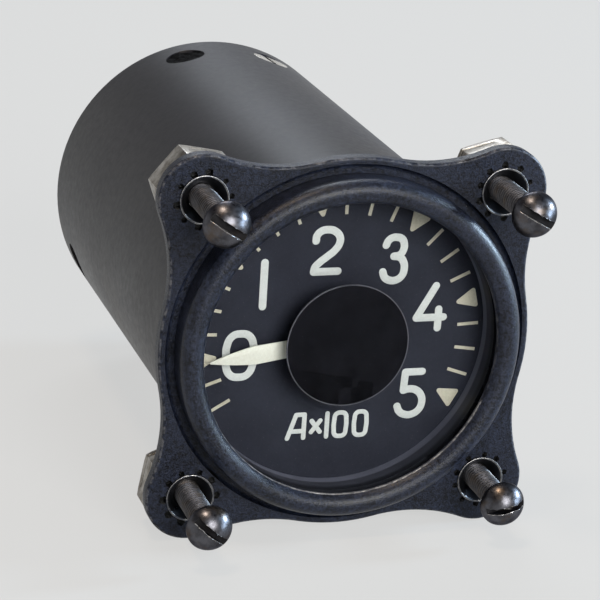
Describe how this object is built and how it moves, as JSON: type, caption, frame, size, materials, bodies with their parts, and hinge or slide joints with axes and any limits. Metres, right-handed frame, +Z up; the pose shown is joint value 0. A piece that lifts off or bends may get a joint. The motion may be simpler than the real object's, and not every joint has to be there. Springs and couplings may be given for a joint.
{
  "type": "panel-mounted moving-coil ammeter",
  "caption": "Round direct-current ammeter with a long-scale dial, a lobed mounting flange with captive nuts and screws, a rolled bezel and rear terminals.",
  "frame": {"origin": "on the axis of the case, in the plane of the flange face that meets the panel", "axes": "-Y out of the dial, +Y along the case to the terminals, +Z up, +X to the right as the dial is read"},
  "size_m": [0.0608, 0.1142, 0.0608],
  "materials": {
    "flange_paint": "blackened satin finish, sand-blasted, worn bright at the edges",
    "case_paint": "smooth satin blackened metal",
    "screw_steel": "burnished black steel",
    "nut_steel": "warm silver plated steel",
    "gasket_rubber": "brown gasket",
    "window": "clear flat glass",
    "mask_black": "glossy black lacquer",
    "dial_black": "matt dark blue-grey paint",
    "dial_mark": "cream luminous paint",
    "pointer_cream": "cream paint on thin sheet",
    "brass_parts": "turned and milled brass",
    "terminal_brass": "nickel-plated brass",
    "spring_bronze": "bronze strip",
    "pole_iron": "machined soft iron",
    "magnet_alloy": "ground cast magnet alloy",
    "coil_copper": "enamelled copper wire",
    "light_alloy": "thin aluminium sheet",
    "staff_steel": "polished hardened steel",
    "base_moulding": "black phenolic moulding",
    "bobbin_moulding": "brown phenolic moulding",
    "resistance_wire": "lacquered resistance wire",
    "lead_sleeve": "sleeved wire",
    "seal_compound": "rough dark sealing compound"
  },
  "bodies": {
    "case": {"case_tube": "case_paint", "front_flange": "flange_paint", "bezel_ring": "flange_paint", "glass_gasket": "gasket_rubber", "window_glass": "window", "hub_mask": "mask_black", "spacer_ring": "dial_black", "dial_plate": "dial_black", "dial_marks": "dial_mark", "dial_screws": "brass_parts", "front_plate": "brass_parts", "front_cock": "brass_parts", "front_jewel_screw": "brass_parts", "rear_jewel_screw": "brass_parts", "front_hairspring": "spring_bronze", "rear_hairspring": "spring_bronze", "spring_tag": "bobbin_moulding", "outer_pole": "pole_iron", "inner_pole": "pole_iron", "magnet": "magnet_alloy", "pole_screws": "brass_parts", "movement_plate": "brass_parts", "front_pillars": "brass_parts", "rear_pillars": "brass_parts", "rear_bridge": "brass_parts", "rear_base": "base_moulding", "bare_base_screw": "screw_steel", "sealed_base_screws": "screw_steel", "screw_seals": "seal_compound", "terminal_studs": "terminal_brass", "terminal_washers": "terminal_brass", "terminal_nuts": "terminal_brass", "resistor_bobbin": "bobbin_moulding", "resistor_winding": "resistance_wire", "supply_lead": "lead_sleeve", "spring_lead": "lead_sleeve", "frame_lead": "lead_sleeve", "anchor_nut_top_left": "nut_steel", "anchor_nut_top_right": "nut_steel", "anchor_nut_bottom_left": "nut_steel", "anchor_nut_bottom_right": "nut_steel"},
    "movement": {"staff": "staff_steel", "pointer": "pointer_cream", "pointer_collet": "brass_parts", "moving_coil": "coil_copper", "coil_former": "light_alloy", "front_coil_bracket": "light_alloy", "rear_coil_bracket": "light_alloy", "balance_arm": "brass_parts", "balance_weight": "brass_parts"},
    "screw_top_left": {"panel_screw_top_left": "screw_steel"},
    "screw_top_right": {"panel_screw_top_right": "screw_steel"},
    "screw_bottom_left": {"panel_screw_bottom_left": "screw_steel"},
    "screw_bottom_right": {"panel_screw_bottom_right": "screw_steel"}
  },
  "joints": [
    {"name": "pointer_turn", "type": "hinge", "parent": "case", "child": "movement", "pos_m": [0, 0, 0], "axis": [0, 1, 0], "range_deg": [-25, 222], "stiffness_Nm_per_rad": 0.00002},
    {"name": "screw_top_left_travel", "type": "slide", "parent": "case", "child": "screw_top_left", "axis": [0, 1, 0], "range_m": [-0.002, 0.01155]},
    {"name": "screw_top_right_travel", "type": "slide", "parent": "case", "child": "screw_top_right", "axis": [0, 1, 0], "range_m": [-0.0025, 0.01105]},
    {"name": "screw_bottom_left_travel", "type": "slide", "parent": "case", "child": "screw_bottom_left", "axis": [0, 1, 0], "range_m": [-0.003, 0.01065]},
    {"name": "screw_bottom_right_travel", "type": "slide", "parent": "case", "child": "screw_bottom_right", "axis": [0, 1, 0], "range_m": [-0.0045, 0.00895]}
  ]
}
